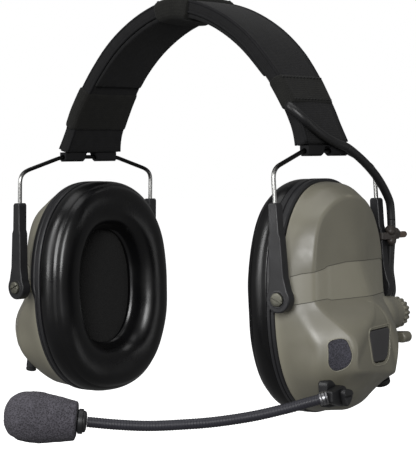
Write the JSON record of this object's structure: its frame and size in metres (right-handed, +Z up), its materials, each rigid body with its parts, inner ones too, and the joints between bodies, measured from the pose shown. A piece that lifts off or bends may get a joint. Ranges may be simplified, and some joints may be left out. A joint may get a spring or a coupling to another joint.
{
  "type": "communication headset with boom microphone",
  "caption": "Over-ear communication headset: padded headband, ear cups on wire yokes with swivel, height slide and tilt, boom microphone, control knob and cross lead.",
  "frame": {"origin": "underside of the headband at the crown, where it rests on the wearer's head", "axes": "+X to the wearer's left (the cup with the boom), +Y to the wearer's back, +Z up; the boom reaches forward along -Y"},
  "size_m": [0.2124, 0.194, 0.1968],
  "materials": {
    "green_shell": "fine moulded grain, satin",
    "black_plastic": "moulded, satin",
    "seal_skin": "smooth synthetic leather, soft gloss",
    "seal_rubber": "matt",
    "acoustic_foam": "open-cell foam, matt",
    "black_textile": "woven nylon, matt",
    "mic_foam": "fine open-cell foam, matt",
    "spring_steel": "drawn wire, bright",
    "screw_metal": "slotted, plated",
    "gooseneck_skin": "finely ringed, satin",
    "tie_plastic": "smooth",
    "circuit_board": "solder mask"
  },
  "bodies": {
    "headband": {"band_cover": "black_textile", "crown_pad": "black_textile", "wrap_crown": "black_textile", "wrap_left": "black_textile", "wrap_right": "black_textile", "band_spring": "spring_steel", "band_rivet_left": "spring_steel", "band_rivet_right": "spring_steel", "band_end_left": "black_plastic", "band_end_right": "black_plastic", "lead_band": "seal_rubber"},
    "yoke_left": {"yoke_wire_left": "spring_steel", "lead_upper": "seal_rubber"},
    "slider_left": {"yoke_arm_front_left": "black_plastic", "yoke_arm_rear_left": "black_plastic", "cable_tie": "tie_plastic", "lead_lower": "seal_rubber"},
    "cup_left": {"cup_shell_left": "green_shell", "mic_window_left": "mic_foam", "bridge_band_left": "green_shell", "rear_boss_left": "green_shell", "pivot_screw_front_left": "screw_metal", "pivot_screw_rear_left": "screw_metal", "base_ring_left": "black_plastic", "ear_seal_left": "seal_skin", "foam_liner_left": "acoustic_foam", "speaker_driver_left": "black_plastic", "circuit_board": "circuit_board", "lead_gland": "seal_rubber", "downlead_socket": "black_plastic", "boom_socket": "black_plastic", "lead_drop": "seal_rubber"},
    "pad_left": {"push_pad_left": "seal_rubber"},
    "knob": {"control_knob": "green_shell"},
    "lever": {"mode_lever": "green_shell"},
    "cap": {"socket_cap": "seal_rubber"},
    "boom": {"boom_elbow": "black_plastic", "boom_gooseneck": "gooseneck_skin", "mic_collar": "black_plastic", "mic_capsule": "black_plastic", "mic_windscreen": "mic_foam"},
    "thumb_screw": {"boom_thumb_screw": "screw_metal"},
    "yoke_right": {"yoke_wire_right": "spring_steel"},
    "slider_right": {"yoke_arm_front_right": "black_plastic", "yoke_arm_rear_right": "black_plastic"},
    "cup_right": {"cup_shell_right": "green_shell", "mic_window_right": "mic_foam", "bridge_band_right": "green_shell", "rear_boss_right": "green_shell", "pivot_screw_front_right": "screw_metal", "pivot_screw_rear_right": "screw_metal", "base_ring_right": "black_plastic", "ear_seal_right": "seal_skin", "foam_liner_right": "acoustic_foam", "speaker_driver_right": "black_plastic", "battery": "spring_steel", "boom_port_plug": "black_plastic"},
    "pad_right": {"push_pad_right": "seal_rubber"},
    "battery_door": {"battery_cap": "green_shell"}
  },
  "joints": [
    {"name": "yoke_swivel_left", "type": "hinge", "parent": "headband", "child": "yoke_left", "pos_m": [0.07375, 0, -0.06375], "axis": [0.0811, -0.9967, 0], "range_deg": [-12, 30], "deforming": ["lead_upper"]},
    {"name": "height_slide_left", "type": "slide", "parent": "yoke_left", "child": "slider_left", "axis": [0.0473, 0.0038, -0.9989], "range_m": [-0.008, 0.018], "deforming": ["lead_lower"]},
    {"name": "cup_tilt_left", "type": "hinge", "parent": "slider_left", "child": "cup_left", "pos_m": [0.07725, 0.00028, -0.1275], "axis": [0.0811, -0.9967, 0], "range_deg": [-12, 12], "deforming": ["lead_drop"]},
    {"name": "push_pad_travel_left", "type": "slide", "parent": "cup_left", "child": "pad_left", "axis": [-0.9967, -0.0811, 0], "range_m": [0, 0.0008], "stiffness_N_per_m": 600, "springref_m": -0.0002},
    {"name": "yoke_swivel_right", "type": "hinge", "parent": "headband", "child": "yoke_right", "pos_m": [-0.07375, 0, -0.06375], "axis": [0.0811, 0.9967, 0], "range_deg": [-12, 30]},
    {"name": "height_slide_right", "type": "slide", "parent": "yoke_right", "child": "slider_right", "axis": [-0.0473, 0.0038, -0.9989], "range_m": [-0.008, 0.018]},
    {"name": "cup_tilt_right", "type": "hinge", "parent": "slider_right", "child": "cup_right", "pos_m": [-0.07725, 0.00028, -0.1275], "axis": [0.0811, 0.9967, 0], "range_deg": [-12, 12]},
    {"name": "push_pad_travel_right", "type": "slide", "parent": "cup_right", "child": "pad_right", "axis": [0.9967, -0.0811, 0], "range_m": [0, 0.0008], "stiffness_N_per_m": 600, "springref_m": -0.0002},
    {"name": "control_knob_turn", "type": "hinge", "parent": "cup_left", "child": "knob", "pos_m": [0.08298, 0.04088, -0.1395], "axis": [-0.0811, 0.9967, 0], "range_deg": [0, 270]},
    {"name": "mode_lever_swing", "type": "hinge", "parent": "cup_left", "child": "lever", "pos_m": [0.08347, 0.04092, -0.1508], "axis": [-0.0811, 0.9967, 0], "range_deg": [-20, 20]},
    {"name": "socket_cap_pull", "type": "slide", "parent": "cup_left", "child": "cap", "axis": [-0.0262, 0.3216, -0.9465], "range_m": [0, 0.008]},
    {"name": "boom_swivel", "type": "hinge", "parent": "cup_left", "child": "boom", "pos_m": [0.09764, -0.02474, -0.17], "axis": [-0.9967, -0.0811, 0], "range_deg": [-35, 30]},
    {"name": "boom_thumb_screw_turn", "type": "hinge", "parent": "cup_left", "child": "thumb_screw", "pos_m": [0.10133, -0.02444, -0.17], "axis": [0.9967, 0.0811, 0], "continuous": true},
    {"name": "battery_cap_turn", "type": "hinge", "parent": "cup_right", "child": "battery_door", "pos_m": [-0.08306, 0.03989, -0.1395], "axis": [0.0811, 0.9967, 0], "range_deg": [0, 90]}
  ]
}
